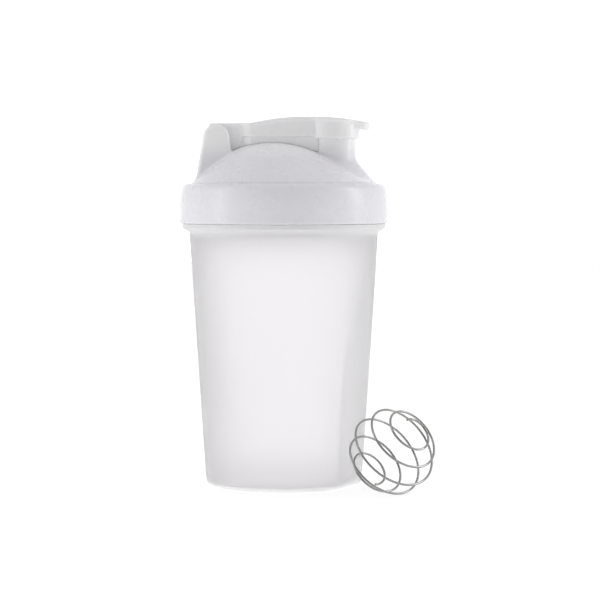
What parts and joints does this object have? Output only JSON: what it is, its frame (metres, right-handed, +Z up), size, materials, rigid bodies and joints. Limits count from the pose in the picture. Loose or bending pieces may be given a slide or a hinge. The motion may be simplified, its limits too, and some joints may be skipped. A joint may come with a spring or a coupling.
{
  "type": "protein shaker bottle",
  "caption": "Translucent shaker cup with a screw lid, a pouring spout under a hinged flip cap, seals and a loose wire whisk ball.",
  "frame": {"origin": "centre of the cup's flat underside, on the surface that it stands on", "axes": "+Z up along the cup's axis, +X towards the spout and the cap's thumb tab, -X towards the cap's hinge"},
  "size_m": [0.111, 0.0983, 0.1621],
  "materials": {
    "translucent_plastic": "frosted translucent moulding",
    "white_plastic": "satin gloss moulding",
    "silicone": "soft matte",
    "steel_wire": "drawn bright wire"
  },
  "bodies": {
    "cup": {"cup": "translucent_plastic"},
    "gasket": {"lid_gasket": "silicone"},
    "lid": {"lid": "white_plastic"},
    "flip_cap": {"flip_cap": "white_plastic", "spout_seal": "silicone"},
    "whisk_ball": {"whisk_ball": "steel_wire"}
  },
  "joints": [
    {"name": "lid_lift", "type": "slide", "parent": "cup", "child": "gasket", "axis": [0, 0, 1], "range_m": [0, 0.006]},
    {"name": "lid_turn", "type": "hinge", "parent": "gasket", "child": "lid", "pos_m": [0, 0, 0.1244], "axis": [0, 0, 1], "range_deg": [0, 430]},
    {"name": "cap_hinge", "type": "hinge", "parent": "lid", "child": "flip_cap", "pos_m": [-0.0296, 0, 0.1528], "axis": [0, -1, 0], "range_deg": [0, 120]},
    {"name": "whisk_ball_slide", "type": "slide", "parent": "cup", "child": "whisk_ball", "axis": [0.8113, -0.5846, 0], "range_m": [0, 0.1]}
  ],
  "couplings": [
    {"joint": "lid_lift", "follows": "lid_turn", "m_per_rad": 0.00079577}
  ]
}
